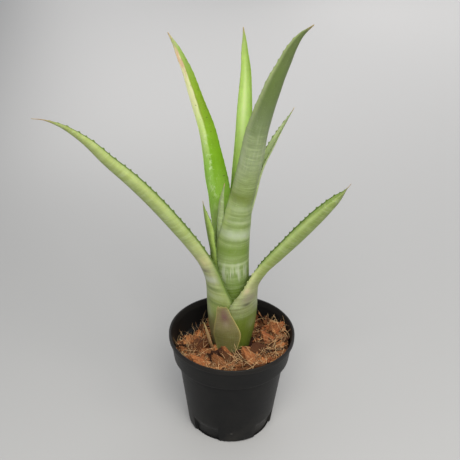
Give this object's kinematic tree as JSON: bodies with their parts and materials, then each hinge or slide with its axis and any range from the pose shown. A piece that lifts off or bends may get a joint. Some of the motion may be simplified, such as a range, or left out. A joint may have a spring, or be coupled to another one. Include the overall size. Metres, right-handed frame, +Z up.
{
  "type": "potted bromeliad",
  "caption": "Young tank bromeliad with arching strap leaves on a short stem, set in husk chips in a black nursery pot with a notched foot.",
  "frame": {"origin": "centre of the underside of the pot", "axes": "+Z up, -Y towards the plant's front, +X to its right"},
  "size_m": [0.1902, 0.09, 0.318],
  "materials": {
    "pot_plastic": "satin moulded black",
    "packed_husk": "packed fibrous coconut husk, matt",
    "husk_chip": "cut coconut husk, matt and fibrous",
    "stem_tissue": "living stem tissue, matt",
    "leaf_green": "living leaf, satin with pale bands",
    "leaf_grey_green": "living leaf, satin with grey bands",
    "leaf_vivid_green": "living leaf, glossy inner face",
    "leaf_light_green": "young living leaf, glossy",
    "leaf_dying": "cut leaf base, dull",
    "sheath_dry": "dry, papery"
  },
  "bodies": {
    "root": {"dry_sheath": "sheath_dry", "growing_medium": "packed_husk", "husk_chip_01": "husk_chip", "husk_chip_02": "husk_chip", "husk_chip_03": "husk_chip", "husk_chip_04": "husk_chip", "husk_chip_05": "husk_chip", "husk_chip_06": "husk_chip", "husk_chip_07": "husk_chip", "husk_chip_08": "husk_chip", "husk_chip_09": "husk_chip", "husk_chip_10": "husk_chip", "husk_chip_11": "husk_chip", "husk_chip_12": "husk_chip", "husk_chip_13": "husk_chip", "husk_chip_14": "husk_chip", "husk_chip_15": "husk_chip", "husk_chip_16": "husk_chip", "husk_chip_17": "husk_chip", "husk_chip_18": "husk_chip", "husk_chip_19": "husk_chip", "husk_chip_20": "husk_chip", "husk_chip_21": "husk_chip", "husk_chip_22": "husk_chip", "husk_chip_23": "husk_chip", "husk_chip_24": "husk_chip", "husk_chip_25": "husk_chip", "husk_chip_26": "husk_chip", "husk_chip_27": "husk_chip", "husk_chip_28": "husk_chip", "husk_chip_29": "husk_chip", "husk_chip_30": "husk_chip", "leaf_back_left": "leaf_vivid_green", "leaf_back_right": "leaf_green", "leaf_centre": "leaf_light_green", "leaf_cut_stub": "leaf_dying", "leaf_front_tall": "leaf_grey_green", "leaf_inner_young": "leaf_grey_green", "leaf_lower_left": "leaf_green", "leaf_lower_right": "leaf_green", "leaf_short_left": "leaf_green", "pot": "pot_plastic", "stem": "stem_tissue"}
  },
  "joints": []
}
